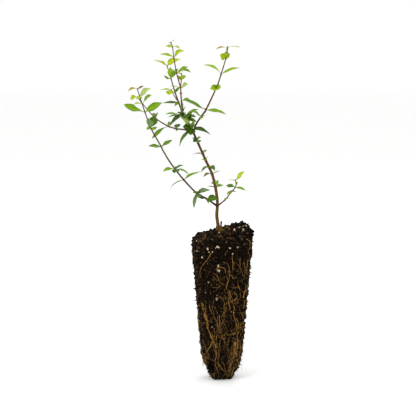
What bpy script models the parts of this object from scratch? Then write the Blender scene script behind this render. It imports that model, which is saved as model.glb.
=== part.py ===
"""A mock privet seedling, about 340 mm tall, standing on its bare root plug.

The plug keeps the shape of the square tray cell it grew in. A slim trunk rises from a flat seat
on top of it and forks into three boughs, with two more boughs lower down. Leaves sit in crossed
pairs on the shoots and on short side sprigs. Places and sizes are in millimetres, with x to the
right, y to the back and z up. The origin is the middle of the plug's flat underside.
"""

import math
import random

import bmesh
import bpy
from mathutils import Vector
from mathutils.bvhtree import BVHTree

MM = 0.001  # metres in a millimetre
SEED = 7
GAP = 0.3  # air between one solid and the next
WELD = 1e-6  # metres, closes the caps of a tube

# The root plug
CELL_HALF_TOP = 28.8  # half the width of the square cell at its mouth
CELL_HALF_LOW = 19.3  # and where the sides begin to draw in to the tip
CELL_CORNER = 5.0  # exponent of the rounded square, higher is squarer
PLUG_TURN = math.radians(12)
TIP_HALF = 10.0  # half width of the flat underside
TIP_TALL = 25.0
TIP_CURVE = 1.3  # how soon the tip draws in, higher is later
SIDE_LEVELS = (0, 4, 9, 16, 25, 46, 70, 95, 120, 140)
TOP_RINGS = (0.975, 0.62)  # share of the half width at each ring of the top
PLUG_SEGMENTS = 28
PLUG_LUMP = 0.6
TOP_HEIGHT = 148.0
TOP_RISE_RIGHT = 0.12
TOP_RISE_BACK = 0.12
TOP_TWIST = 0.004  # lifts the corner at the back on the right
MOUND_CURVE = 1.2
SHOULDER = 1.8  # the sides stop this far under the top's edge
SEAT_PLACE = (-3.2, -1.5)
SEAT_RADIUS = 6.5
SEAT_HEIGHT = 151.0

# The trunk and the dead stub beside it
TRUNK_FOOT = SEAT_HEIGHT + GAP
TRUNK_LINE = (
    (-3.6, 0, TRUNK_FOOT), (-3.6, 0, TRUNK_FOOT + 5), (-4.9, -0.5, 167), (-4.4, -1, 182),
    (-8.7, 0, 205), (-16.2, 1.5, 222), (-23.3, 2.5, 238), (-28.8, 3, 250.5), (-31.2, 4, 256),
)
TRUNK_RADII = (1.75, 1.0)
FLARE = 0.9  # extra radius at the very foot
FLARE_TALL = 3.0
STUB_LINE = ((-1.2, -4.5, TRUNK_FOOT), (-1.2, -4.5, TRUNK_FOOT + 4), (-0.4, -4.7, 161.5))
STUB_RADII = (0.95, 0.7)

# Each bough: the limb it leaves, its line from inside that limb to its tip, and its two radii.
# A bough that goes straight on from the trunk's tip starts there.
BOUGHS = {
    "lower_left_bough": ("trunk", (
        (-4.5, -1, 176), (-15, -3, 183.5), (-25, -6, 189.5), (-37.5, -10, 203),
        (-46, -13, 214), (-52.5, -15.5, 223.5), (-58, -17.5, 233.3)), (0.8, 0.6)),
    "lower_right_bough": ("trunk", (
        (-4.3, -1, 176), (3.4, -3, 182.6), (9, -6, 190)), (0.7, 0.55)),
    "left_bough": ("trunk", (
        (-28.6, 3, 250), (-38, 5, 252), (-45, 6.5, 252.6), (-51, 8.5, 254.2)), (0.75, 0.6)),
    "right_bough": ("trunk", (
        (-28.3, 3, 249.5), (-25.6, 2, 257.2), (-20.2, -1, 265.4), (-18.6, -1.4, 267.6)), (0.9, 0.75)),
    "centre_bough": (None, (
        (-31.2, 4, 256), (-37, 7, 264.3), (-40, 8, 270), (-42, 9, 276)), (0.95, 0.7)),
}

# Each spray: the limb it grows from, whether it goes on from that limb's tip or leaves its side,
# its radii, and its nodes from the foot up. A node has its place, then the reach of each leaf.
SPRAYS = {
    "lower_left_spray": ("lower_left_bough", "tip", (0.6, 0.35), (
        ((-59.3, -18.1, 236.3), (-12.2, -5, 0.8), (10.6, 6, 6.3)),
        ((-69, -22, 254.5), (3, 10, 12), (-2, -10, 9), (-4, 2, -1), (6.5, -2, 1)),
        ((-74.5, -24, 270), (-20.5, -6, 7.5), (16.5, 5, 9)),
        ((-79.5, -25, 285.5), (10.7, -5, 7), (-8.7, 5, -3), (-1, -4, -3), (2, 4, -1.5)),
        ((-81.5, -25, 292), (-9, -3, -2.5), (6.7, 3, 3)))),
    "left_spray": ("left_bough", "tip", (0.6, 0.35), (
        ((-53.5, 9.8, 255), (-16, -5, -12), (2, 14, 4)),
        ((-66.5, 15, 263), (-3, 13, 5), (3, -9, 6)),
        ((-79.5, 20, 277), (9.2, -4, 9), (-9.3, -3, -1)),
        ((-83, 21, 281.5), (-3, -3, 2), (3, 3, 2.5)))),
    "right_spray": ("right_bough", "tip", (0.75, 0.35), (
        ((-15.8, -2.2, 271.6), (-21.8, -3, 9.4), (20.2, -5, -4.6)),
        ((-5.5, -8, 293.4), (-6, -8, -2.5), (3.5, -8, -3), (1, 12, 2)),
        ((-1, -11, 306.3), (-17, -4, 9), (18.5, 4, 6)),
        ((3.6, -13, 321.6), (-5.5, -5, 4.5), (4.5, -4, 4.5), (-1, 8, 2)),
        ((5, -13, 329), (-1, 3.5, 3)),
        ((5.4, -13, 332), (-11.4, 2, -1), (12, -3, 0)))),
    "centre_left_spray": ("centre_bough", "tip", (0.65, 0.35), (
        ((-43, 9, 279), (-16, -4, -1), (-4, -5, -4)),
        ((-46.4, 10, 288.4), (4.6, 3, 6), (-2.5, 3, 0.5)),
        ((-50.5, 10, 302.3), (-6.7, -3, 3.5), (1.5, -6, 11.5)),
        ((-54.3, 9, 314.7), (13.7, 4, 6.5), (-13.4, -3, 6)))),
    "centre_right_spray": ("centre_bough", "side", (0.65, 0.35), (
        ((-40.2, 8, 270.7),),
        ((-40, 4, 279.4),),
        ((-40.5, 0, 287.6), (-2.5, 0, 0.5), (2.6, 0, 0.5)),
        ((-40.8, -2, 293.5), (7.4, -4, 3), (-10.6, 4, 1.5)),
        ((-44.5, -6, 308), (11.3, -3, 5.5), (-3, 9, 3)),
        ((-47, -8, 322.7), (10.4, -4, 6), (-13.5, -3, 2.8)),
        ((-48.2, -8, 332.6), (-7.1, 3, 1), (7.3, -3, -1.5)),
        ((-49.7, -8, 336.5), (4.1, -2, 3.2), (-2.6, 1, 0.5)))),
    "lower_right_spray": ("lower_right_bough", "tip", (0.55, 0.35), (
        ((10, -6.5, 191.3), (-4, -5, -2.5), (3, 5, 3)),
        ((13.4, -8, 195.6), (-8.7, 3, 2.5), (9.3, -4, -3.5)),
        ((14, -8.5, 199.5), (1, -5, -1), (2, 4, 1)),
        ((13.5, -9, 202.4), (8.5, -3, 9.6), (-7.2, 3, 0.4)))),
}

# Side twigs inside a spray: the node of the main stem they leave, then their own nodes
SIDE_TWIGS = {
    "centre_left_spray": (0, (
        ((-47, 6, 285),),
        ((-50, 3, 291), (-11, -3, 0), (-2.5, -8, -3.5)))),
    "centre_right_spray": (3, (
        ((-40, 3, 301), (-2.5, -7, 3), (2.5, 7, 2)),
        ((-40, 5, 306.6), (9.4, -3, 2.5), (-5.5, 2, 1.6)))),
}
TWIG_RADII = (0.5, 0.3)
STRAIGHT_START = 1.2  # a spray's stem first runs straight on from its bough's tip

# Each short sprig: its limb, its place along it, the way its stub points, then the leaves' reach
SPRIGS = {
    "lower_left_sprig_1": ("lower_left_bough", (-15, -3, 183.5), (0.1, -1, 0.2), (
        (11, -3, -1), (1.7, -4, -5))),
    "lower_left_sprig_2": ("lower_left_bough", (-25, -6, 189.5), (0, -1, -0.2), (
        (13.7, -3, 4), (-2.4, -2, -14.5), (6, -7, -2), (-5, -4, 2))),
    "lower_left_sprig_3": ("lower_left_bough", (-37.5, -10, 203), (0.2, 1, 0), (
        (-14.4, 3, -11), (16.8, 4, 8))),
    "lower_left_sprig_4": ("lower_left_bough", (-46, -13, 214), (0, -1, 0), (
        (-10, -3, -2), (8.6, -3, 4), (4, -9, -1), (-1, -4, -3.5), (13.8, -1, -5.5))),
    "lower_right_sprig": ("lower_right_bough", (3.4, -3, 182.6), (0, -1, 0.2), (
        (-1, -4, 2.5), (5, -3, 2))),
    "left_sprig": ("left_bough", (-45, 6.5, 252.6), (0, -1, 0.2), (
        (6, -5, 4), (0, -5, -2.5))),
    "right_sprig": ("right_bough", (-20.2, -1, 265.4), (-0.3, -1, 0), (
        (-11.4, -3, 5), (4.6, -4, 0.5), (0.6, -5, -3), (-6, -3, -1.5))),
    "centre_sprig_1": ("centre_bough", (-38.3, 7.5, 266.5), (-0.4, -1, 0), (
        (-15, -3, -0.5), (-12, -2, -4), (-9, -4, -12), (2, -4, 10))),
    "centre_sprig_2": ("centre_bough", (-35.2, 6, 261.8), (0.6, -1, 0.4), (
        (-1, -8, -7.5), (14, 2, 4.5), (4, 2, 8))),
    "fork_sprig": ("trunk", (-29.6, 3.3, 252.3), (0, -1, 0.1), (
        (0, -8, -7), (2, -7, 8), (-9, -1, 2.5), (18, -2, -4.5), (-11, -3, -17.5))),
    "trunk_sprig_1": ("trunk", (-25.2, 2.7, 242), (0, -1, 0), (
        (-4, -5, 1.5), (3.5, -6, -2), (5, -2, 3.5))),
    "trunk_sprig_2": ("trunk", (-19, 2, 228.3), (0, 1, 0), (
        (-9.5, 3, -1.5), (4, 11, 3))),
    "trunk_sprig_3": ("trunk", (-16.1, 1.5, 221.8), (0, -1, 0), (
        (-4, -4, 1.5), (3, -4, 3))),
    "trunk_sprig_4": ("trunk", (-13.1, 1, 215), (0, -1, 0), (
        (-7.6, -3, -5), (6.2, -3, -3.8))),
    "trunk_sprig_5": ("trunk", (-10, 0.5, 207.5), (0, 1, 0), (
        (-8, 3, -3), (8.4, 3, 2.8))),
    "trunk_sprig_6": ("trunk", (-7.3, 0, 200), (0, -1, 0), (
        (4.2, -4, -0.5), (-3, -4, -1))),
    "trunk_sprig_7": ("trunk", (-6, -0.5, 194.5), (0, 1, 0), (
        (-8, 3, 0.7), (8.4, 3, 2))),
}
STUB_OUT = 2.1  # a sprig's stub stands this far out of its limb
STUB_THICK = 0.5
STUB_MIDDLE = 0.6  # share of the stub at its middle ring
LEAVES_LEAVE = 0.88  # share of the stub where its leaves start

# Leaves
LEAF_THICK = 0.35
LEAF_BROAD = 0.4  # width for its length
LEAF_SPREAD = (0.92, 1.08)  # how much the width differs from leaf to leaf
LEAF_NARROWEST = 1.9
LEAF_ROWS = 4
LEAF_PETIOLE = 0.12  # share of the length before the blade opens
PETIOLE_HALF = 0.34
TIP_NARROW = 0.2  # half the width of the very tip
BLADE_FULLEST = 0.38  # where along the blade it is widest
FOLD = 0.22  # how far the halves lift from the midrib
ARCH = (0.0, 0.06)  # rise over the straight line from root to tip, as a share of it
ROLL = (30, 58)  # degrees, the upper face leans to the front

BARK_EDGE = math.radians(50)  # edges sharper than this are shaded as edges
PLUG_EDGE = math.radians(40)

BARK = (0.12, 0.065, 0.035)
YOUNG_BARK = (0.2, 0.12, 0.05)
PEAT = (0.035, 0.022, 0.014)
GREENS = ((0.1, 0.24, 0.035), (0.16, 0.34, 0.05), (0.07, 0.17, 0.04))


def material(name, colour, roughness):
    made = bpy.data.materials.new(name)
    made.use_nodes = True
    shader = made.node_tree.nodes["Principled BSDF"]
    shader.inputs["Base Color"].default_value = (*colour, 1)
    shader.inputs["Roughness"].default_value = roughness
    shader.inputs["Metallic"].default_value = 0
    made.diffuse_color = (*colour, 1)
    return made


def smooth_line(points, steps):
    """Points on a curve that passes through all of these, with this many steps to each span."""
    points = [Vector(p) for p in points]
    ends = [points[0] * 2 - points[1], *points, points[-1] * 2 - points[-2]]
    line = []
    for before, a, b, after in zip(ends, ends[1:], ends[2:], ends[3:]):
        for step in range(steps):
            t = step / steps
            line.append(0.5 * (2 * a + (b - before) * t
                               + (2 * before - 5 * a + 4 * b - after) * t ** 2
                               + (3 * a - before - 3 * b + after) * t ** 3))
    return [*line, points[-1]]


def tapered(line, radii, flare=0.0):
    """A radius for each point, from the first of the two at the foot to the second at the tip."""
    lengths = [0.0]
    for a, b in zip(line, line[1:]):
        lengths.append(lengths[-1] + (b - a).length)
    foot, tip = radii
    return [foot + (tip - foot) * along / lengths[-1] + flare * math.exp(-along / FLARE_TALL)
            for along in lengths]


def new_object(name, mesh, collection, look=None):
    made = bpy.data.objects.new(name, mesh)
    if look:
        mesh.materials.append(look)
    collection.objects.link(made)
    return made


def evaluated_mesh(obj):
    graph = bpy.context.evaluated_depsgraph_get()
    return bpy.data.meshes.new_from_object(obj.evaluated_get(graph))


def tube(name, line, radii, collection, look=None, round_steps=1):
    """A tapering limb as a closed mesh, made from a bevelled curve."""
    curve = bpy.data.curves.new(name, "CURVE")
    curve.dimensions = "3D"
    curve.bevel_depth = MM
    curve.bevel_resolution = round_steps
    curve.use_fill_caps = True
    spline = curve.splines.new("POLY")
    spline.points.add(len(line) - 1)
    for point, place, radius in zip(spline.points, line, radii):
        point.co = (*(place * MM), 1)
        point.radius = radius
    guide = new_object(name + "_line", curve, collection)
    mesh = evaluated_mesh(guide)
    bpy.data.objects.remove(guide)
    work = bmesh.new()
    work.from_mesh(mesh)
    bmesh.ops.remove_doubles(work, verts=work.verts, dist=WELD)
    bmesh.ops.recalc_face_normals(work, faces=work.faces)
    work.to_mesh(mesh)
    work.free()
    mesh.shade_smooth()
    mesh.set_sharp_from_angle(angle=BARK_EDGE)
    return new_object(name, mesh, collection, look)


def blade_half(along, width):
    """Half the leaf's width at this share of its length: a stalk, then a blade with a drawn-out tip."""
    blade = (along - LEAF_PETIOLE) / (1 - LEAF_PETIOLE)
    if blade <= 0:
        return PETIOLE_HALF
    fall = (1 - BLADE_FULLEST) / BLADE_FULLEST
    full = BLADE_FULLEST * (1 - BLADE_FULLEST) ** fall
    open_half = width / 2 * blade * (1 - blade) ** fall / full
    return max(open_half, PETIOLE_HALF + (TIP_NARROW - PETIOLE_HALF) * blade)


def leaf(name, root, reach, dice, collection):
    """One leaf from its root to its tip: a folded, arching blade of even thickness."""
    root, reach = Vector(root), Vector(reach)
    length = reach.length
    width = max(LEAF_BROAD * length, LEAF_NARROWEST) * dice.uniform(*LEAF_SPREAD)
    arch = length * dice.uniform(*ARCH)
    roll = math.radians(dice.uniform(*ROLL))
    sideways = reach.cross(Vector((0, 0, 1))).normalized()
    up = sideways.cross(reach).normalized()
    # The upper face leans towards the front, so the edge that is nearer the front drops
    front_edge = 1 if sideways.y < 0 else -1
    across = sideways * math.cos(roll) - up * math.sin(roll) * front_edge
    face_up = up * math.cos(roll) + sideways * math.sin(roll) * front_edge
    work = bmesh.new()
    bmesh.ops.create_grid(work, x_segments=2, y_segments=LEAF_ROWS, size=1)
    for vert in work.verts:
        side, along = vert.co.x, (vert.co.y + 1) / 2
        half = blade_half(along, width)
        centre = root + reach * along + up * arch * 4 * along * (1 - along)
        vert.co = (centre + across * side * half + face_up * abs(side) * half * FOLD) * MM
    mesh = bpy.data.meshes.new(name)
    work.to_mesh(mesh)
    work.free()
    made = new_object(name, mesh, collection)
    thick = made.modifiers.new("thickness", "SOLIDIFY")
    thick.thickness = LEAF_THICK * MM
    thick.offset = 0
    return made


def tree_of(obj):
    mesh = evaluated_mesh(obj)
    points = [v.co.copy() for v in mesh.vertices]
    faces = [tuple(p.vertices) for p in mesh.polygons]
    bpy.data.meshes.remove(mesh)
    return BVHTree.FromPolygons(points, faces), points


def is_clear(obj, taken):
    """Whether this shape stays off every other solid."""
    own, points = tree_of(obj)
    for other in taken:
        if own.overlap(other):
            return False
        if any(other.find_nearest(p, GAP * MM)[0] is not None for p in points):
            return False
    return True


def largest_body(mesh):
    """Keeps the biggest closed shell, which drops loose scraps and fills sealed hollows."""
    work = bmesh.new()
    work.from_mesh(mesh)
    left = set(work.verts)
    shells = []
    while left:
        shell, edge = set(), [left.pop()]
        while edge:
            vert = edge.pop()
            shell.add(vert)
            for link in vert.link_edges:
                other = link.other_vert(vert)
                if other in left:
                    left.remove(other)
                    edge.append(other)
        shells.append(shell)
    shells.sort(key=len)
    bmesh.ops.delete(work, geom=[v for shell in shells[:-1] for v in shell], context="VERTS")
    work.to_mesh(mesh)
    work.free()


def apply_boolean(obj, operation, other):
    """Joins or cuts, keeps the result as the object's own mesh."""
    step = obj.modifiers.new(operation.lower(), "BOOLEAN")
    step.operation = operation
    step.solver = "MANIFOLD"
    if isinstance(other, bpy.types.Collection):
        step.operand_type = "COLLECTION"
        step.collection = other
    else:
        step.object = other
    mesh = evaluated_mesh(obj)
    obj.modifiers.remove(step)
    old = obj.data
    obj.data = mesh
    bpy.data.meshes.remove(old)
    largest_body(obj.data)


def empty_out(collection):
    for obj in list(collection.objects):
        bpy.data.objects.remove(obj)


def root_plug(collection, look, dice):
    """The cell-shaped plug: squared rings on the sides, a mound on top and a flat underside."""
    rings = len(SIDE_LEVELS) + len(TOP_RINGS) + 1
    work = bmesh.new()
    bmesh.ops.create_uvsphere(work, u_segments=PLUG_SEGMENTS, v_segments=rings + 1, radius=1)
    for vert in work.verts:
        ring = round((math.pi - vert.co.angle(Vector((0, 0, 1)))) / math.pi * (rings + 1))
        turn = math.atan2(vert.co.y, vert.co.x)
        vert.co = plug_point(ring, turn, rings, dice) * MM
    underside = [f for f in work.faces if all(abs(v.co.z) < WELD for v in f.verts)]
    bmesh.ops.dissolve_faces(work, faces=underside, use_verts=True)
    mesh = bpy.data.meshes.new("root_plug")
    work.to_mesh(mesh)
    work.free()
    mesh.shade_smooth()
    mesh.set_sharp_from_angle(angle=PLUG_EDGE)
    return new_object("root_plug", mesh, collection, look)


def cell_half(height):
    """Half the cell's width at this height: straight tapering sides over a drawn-in tip."""
    if height >= TIP_TALL:
        share = (height - TIP_TALL) / (SIDE_LEVELS[-1] - TIP_TALL)
        return CELL_HALF_LOW + (CELL_HALF_TOP - CELL_HALF_LOW) * share
    share = math.sin(math.pi / 2 * height / TIP_TALL) ** TIP_CURVE
    return TIP_HALF + (CELL_HALF_LOW - TIP_HALF) * share


def top_height(x, y):
    return TOP_HEIGHT + TOP_RISE_RIGHT * x + TOP_RISE_BACK * y + TOP_TWIST * x * y


def plug_point(ring, turn, rings, dice):
    """A point of the plug, on this ring up from the underside and at this turn about the axis."""
    seat = Vector((*SEAT_PLACE, SEAT_HEIGHT))
    if ring == 0:
        return Vector((0, 0, 0))
    if ring > rings:
        return seat
    way = Vector((math.cos(turn + PLUG_TURN), math.sin(turn + PLUG_TURN), 0))
    if ring == rings:
        return seat + way * SEAT_RADIUS
    square = (abs(math.cos(turn)) ** CELL_CORNER + abs(math.sin(turn)) ** CELL_CORNER) ** (-1 / CELL_CORNER)
    lump = dice.uniform(-PLUG_LUMP, PLUG_LUMP)
    if ring <= len(SIDE_LEVELS):
        level = SIDE_LEVELS[ring - 1]
        out = way * square * cell_half(level)
        if ring == 1:
            return out
        rim = (top_height(out.x, out.y) - SHOULDER) / SIDE_LEVELS[-1]
        return out + way * lump + Vector((0, 0, level * rim))
    share = TOP_RINGS[ring - len(SIDE_LEVELS) - 1]
    middle = Vector((*SEAT_PLACE, 0)) * (1 - share)
    out = middle + way * square * CELL_HALF_TOP * share
    mound = (SEAT_HEIGHT - TOP_HEIGHT) * max(0, 1 - share) ** MOUND_CURVE
    return out + Vector((0, 0, top_height(out.x, out.y) + mound + lump))


def nearest_on(line, place):
    """The nearest point of a limb's line."""
    place = Vector(place)
    best = None
    for a, b in zip(line, line[1:]):
        share = (place - a).dot(b - a) / (b - a).length_squared
        point = a + (b - a) * min(1, max(0, share))
        if best is None or (point - place).length < (best - place).length:
            best = point
    return best


def main():
    for obj in list(bpy.data.objects):
        bpy.data.objects.remove(obj)
    dice = random.Random(SEED)
    plant = bpy.data.collections.new("mock_privet")
    cutters = bpy.data.collections.new("cutters")
    foliage = bpy.data.collections.new("foliage")
    for collection in (plant, cutters, foliage):
        bpy.context.scene.collection.children.link(collection)
    bark = material("bark", BARK, 0.8)
    young_bark = material("young_bark", YOUNG_BARK, 0.7)
    greens = [material(f"leaf_green_{i}", green, 0.5) for i, green in enumerate(GREENS)]
    taken, lines, shells = [], {}, {}
    skipped = []

    def keep_limb(name, obj, line, radii):
        """Remembers a limb's line, its space, and a slightly fatter copy that cuts its branches clear."""
        lines[name] = line
        shells[name] = tube(name + "_room", line, [r + GAP for r in radii], cutters)
        taken.append(tree_of(shells[name])[0])

    plug = root_plug(plant, material("peat", PEAT, 0.95), dice)
    taken.append(tree_of(plug)[0])
    line = smooth_line(TRUNK_LINE, 3)
    radii = tapered(line, TRUNK_RADII, FLARE)
    keep_limb("trunk", tube("trunk", line, radii, plant, bark, 2), line, radii)
    line = smooth_line(STUB_LINE, 2)
    radii = tapered(line, STUB_RADII)
    keep_limb("dead_stub", tube("dead_stub", line, radii, plant, bark), line, radii)

    for name, (parent, places, ends) in BOUGHS.items():
        line = smooth_line(places, 2)
        if parent is None:
            line[0] += (line[1] - line[0]).normalized() * GAP
        radii = tapered(line, ends)
        bough = tube(name, line, radii, plant, young_bark)
        if parent:
            apply_boolean(bough, "DIFFERENCE", shells[parent])
        keep_limb(name, bough, line, radii)

    def add_leaves(name, root, reaches):
        for i, reach in enumerate(reaches):
            made = leaf(f"{name}_leaf", root, reach, dice, foliage)
            if not is_clear(made, taken):
                skipped.append(f"{name} {tuple(round(c) for c in root)} {i}")
                bpy.data.objects.remove(made)

    for count, (name, (parent, start, ends, nodes)) in enumerate(SPRAYS.items()):
        places = [Vector(node[0]) for node in nodes]
        if start == "tip":
            tip = lines[parent][-1]
            ahead = (tip - lines[parent][-2]).normalized()
            places[:0] = [tip + ahead * GAP, tip + ahead * (GAP + STRAIGHT_START)]
        line = smooth_line(places, 2)
        stem = tube(name, line, tapered(line, ends), plant, greens[count % len(greens)])
        for place, *reaches in nodes:
            add_leaves(name, place, reaches)
        if name in SIDE_TWIGS:
            node, twig_nodes = SIDE_TWIGS[name]
            twig_line = smooth_line([nodes[node][0], *(twig[0] for twig in twig_nodes)], 2)
            tube(name + "_twig", twig_line, tapered(twig_line, TWIG_RADII), foliage)
            for place, *reaches in twig_nodes:
                add_leaves(name, place, reaches)
        apply_boolean(stem, "UNION", foliage)
        empty_out(foliage)
        if start == "side":
            apply_boolean(stem, "DIFFERENCE", shells[parent])
        taken.append(tree_of(stem)[0])

    for count, (name, (parent, place, way, reaches)) in enumerate(SPRIGS.items()):
        root = nearest_on(lines[parent], place)
        end = root + Vector(way).normalized() * (STUB_OUT + TRUNK_RADII[1])
        line = [root, root.lerp(end, STUB_MIDDLE), end]
        stem = tube(name, line, [STUB_THICK] * 3, plant, greens[count % len(greens)])
        inner = root.lerp(end, LEAVES_LEAVE)
        add_leaves(name, inner, reaches)
        apply_boolean(stem, "UNION", foliage)
        empty_out(foliage)
        apply_boolean(stem, "DIFFERENCE", shells[parent])
        taken.append(tree_of(stem)[0])

    empty_out(cutters)
    print("leaves left out:", skipped)
    centre = bpy.data.objects.new("seedling", None)
    plant.objects.link(centre)
    for obj in plant.objects:
        if obj != centre:
            obj.parent = centre


main()
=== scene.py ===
import math
import random

import bmesh
import bpy
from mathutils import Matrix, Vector, kdtree, noise
from mathutils.bvhtree import BVHTree


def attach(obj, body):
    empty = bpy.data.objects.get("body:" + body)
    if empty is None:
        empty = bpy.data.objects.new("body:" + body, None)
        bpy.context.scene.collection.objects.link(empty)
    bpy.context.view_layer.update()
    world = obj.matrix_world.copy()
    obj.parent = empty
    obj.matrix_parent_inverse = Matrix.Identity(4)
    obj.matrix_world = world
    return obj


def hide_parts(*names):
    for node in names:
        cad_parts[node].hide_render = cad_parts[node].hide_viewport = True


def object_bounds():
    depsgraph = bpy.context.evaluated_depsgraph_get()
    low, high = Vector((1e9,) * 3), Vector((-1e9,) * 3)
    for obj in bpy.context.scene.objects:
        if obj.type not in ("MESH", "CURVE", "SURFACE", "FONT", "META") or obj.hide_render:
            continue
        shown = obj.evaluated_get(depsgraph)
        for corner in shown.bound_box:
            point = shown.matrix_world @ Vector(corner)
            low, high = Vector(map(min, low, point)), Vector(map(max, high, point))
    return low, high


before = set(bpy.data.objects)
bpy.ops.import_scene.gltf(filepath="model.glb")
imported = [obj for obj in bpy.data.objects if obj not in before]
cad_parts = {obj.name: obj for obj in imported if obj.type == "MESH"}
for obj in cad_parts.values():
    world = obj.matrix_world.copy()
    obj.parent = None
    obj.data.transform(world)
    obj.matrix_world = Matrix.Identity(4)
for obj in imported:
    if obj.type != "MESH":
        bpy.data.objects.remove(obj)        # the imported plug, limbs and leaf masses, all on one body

cadBox = [list(corner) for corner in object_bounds()]
mm = 0.001  # places below are in millimetres
spare = 0.012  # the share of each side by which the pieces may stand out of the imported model
limitLow, limitHigh = ([c / mm + sign * spare * (b - a) / mm for c, a, b in zip(corner, *cadBox)]
                       for corner, sign in zip(cadBox, (-1, 1)))
dice = random.Random(41)

bpy.ops.object.select_all(action="DESELECT")

# Camera: level with the plug's upper half, looking a little down
cameraSetup = {"lens": 86.54, "pitch": 7, "distance": 1000, "aim": (-13.7, 0, 173.9), "frameSize": 416}


def makeCamera():
    pitch = math.radians(cameraSetup["pitch"])
    back = Vector((0, -math.cos(pitch), math.sin(pitch)))
    place = Vector(cameraSetup["aim"]) + back * cameraSetup["distance"]
    bpy.ops.object.camera_add(location=place * mm, rotation=(math.pi / 2 - pitch, 0, 0))
    camera = bpy.context.object
    camera.data.lens = cameraSetup["lens"]
    camera.data.sensor_width = 36
    camera.data.clip_start = 0.05
    bpy.context.scene.camera = camera
    return place


def pixelRay(px, py):
    # the way from the camera through a pixel of the photograph
    pitch = math.radians(cameraSetup["pitch"])
    half = cameraSetup["frameSize"] / 2
    scale = 36 / cameraSetup["lens"] / cameraSetup["frameSize"]
    right, up = (px - half) * scale, (half - py) * scale
    ahead = Vector((0, math.cos(pitch), -math.sin(pitch)))
    over = Vector((0, math.sin(pitch), math.cos(pitch)))
    return (ahead + Vector((1, 0, 0)) * right + over * up).normalized()


cameraPlace = makeCamera()
print("camera ready")


# Materials
def shaderOf(name, roughness, specular=0.5):
    made = bpy.data.materials.new(name)
    made.use_nodes = True
    shader = made.node_tree.nodes["Principled BSDF"]
    shader.inputs["Roughness"].default_value = roughness
    shader.inputs["Specular IOR Level"].default_value = specular
    return made, made.node_tree.nodes, made.node_tree.links, shader


def speckled(name, colours, grain, roughness, bump, specular=0.5, detail=6, stretch=(1, 1, 1)):
    # colours: (place on the ramp, colour) from dark to light, spread by noise of this grain in millimetres
    made, nodes, links, shader = shaderOf(name, roughness, specular)
    where = nodes.new("ShaderNodeTexCoord")
    turn = nodes.new("ShaderNodeMapping")
    turn.inputs["Scale"].default_value = stretch
    cloud = nodes.new("ShaderNodeTexNoise")
    cloud.inputs["Scale"].default_value = 1 / (grain * mm)
    cloud.inputs["Detail"].default_value = detail
    cloud.inputs["Roughness"].default_value = 0.62
    ramp = nodes.new("ShaderNodeValToRGB")
    while len(ramp.color_ramp.elements) < len(colours):
        ramp.color_ramp.elements.new(0.5)
    for stop, (place, colour) in zip(ramp.color_ramp.elements, colours):
        stop.position = place
        stop.color = (*colour, 1)
    lift = nodes.new("ShaderNodeBump")
    lift.inputs["Strength"].default_value = 0.6
    lift.inputs["Distance"].default_value = bump * mm
    links.new(where.outputs["Object"], turn.inputs["Vector"])
    links.new(turn.outputs["Vector"], cloud.inputs["Vector"])
    links.new(cloud.outputs["Fac"], ramp.inputs["Fac"])
    links.new(cloud.outputs["Fac"], lift.inputs["Height"])
    links.new(ramp.outputs["Color"], shader.inputs["Base Color"])
    links.new(lift.outputs["Normal"], shader.inputs["Normal"])
    return made


def barkMaterial(name, line, colours):
    # bark whose colour changes from the limb's foot to its top, darkened in fine stretched ridges
    made, nodes, links, shader = shaderOf(name, 0.7, 0.12)
    where = nodes.new("ShaderNodeTexCoord")
    split = nodes.new("ShaderNodeSeparateXYZ")
    climb = nodes.new("ShaderNodeMapRange")
    climb.inputs["From Min"].default_value = line[0].z * mm
    climb.inputs["From Max"].default_value = line[-1].z * mm
    height = nodes.new("ShaderNodeValToRGB")
    while len(height.color_ramp.elements) < len(colours):
        height.color_ramp.elements.new(0.5)
    for i, (stop, colour) in enumerate(zip(height.color_ramp.elements, colours)):
        stop.position = i / (len(colours) - 1)
        stop.color = (*colour, 1)
    squash = nodes.new("ShaderNodeMapping")
    squash.inputs["Scale"].default_value = (1, 1, 0.28)
    cloud = nodes.new("ShaderNodeTexNoise")
    cloud.inputs["Scale"].default_value = 1500
    cloud.inputs["Detail"].default_value = 5
    dark = nodes.new("ShaderNodeMix")
    dark.data_type = "RGBA"
    dark.blend_type = "MULTIPLY"
    dark.inputs["Factor"].default_value = 0.8
    tone = nodes.new("ShaderNodeValToRGB")
    tone.color_ramp.elements[0].position = 0.34
    tone.color_ramp.elements[0].color = (0.35, 0.3, 0.26, 1)
    tone.color_ramp.elements[1].position = 0.62
    tone.color_ramp.elements[1].color = (1.3, 1.25, 1.2, 1)
    lift = nodes.new("ShaderNodeBump")
    lift.inputs["Strength"].default_value = 0.7
    lift.inputs["Distance"].default_value = 0.00012
    links.new(where.outputs["Object"], split.inputs["Vector"])
    links.new(split.outputs["Z"], climb.inputs["Value"])
    links.new(climb.outputs["Result"], height.inputs["Fac"])
    links.new(where.outputs["Object"], squash.inputs["Vector"])
    links.new(squash.outputs["Vector"], cloud.inputs["Vector"])
    links.new(cloud.outputs["Fac"], tone.inputs["Fac"])
    links.new(height.outputs["Color"], dark.inputs["A"])
    links.new(tone.outputs["Color"], dark.inputs["B"])
    links.new(dark.outputs["Result"], shader.inputs["Base Color"])
    links.new(cloud.outputs["Fac"], lift.inputs["Height"])
    links.new(lift.outputs["Normal"], shader.inputs["Normal"])
    return made


def tinted(name, colour, spread, grain, roughness, bump, specular=0.5):
    # one plain colour with a slight mottle of lighter and darker
    darker = tuple(c * (1 - spread) for c in colour)
    lighter = tuple(min(1, c * (1 + spread)) for c in colour)
    return speckled(name, ((0.3, darker), (0.5, colour), (0.72, lighter)), grain, roughness, bump, specular)


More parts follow.
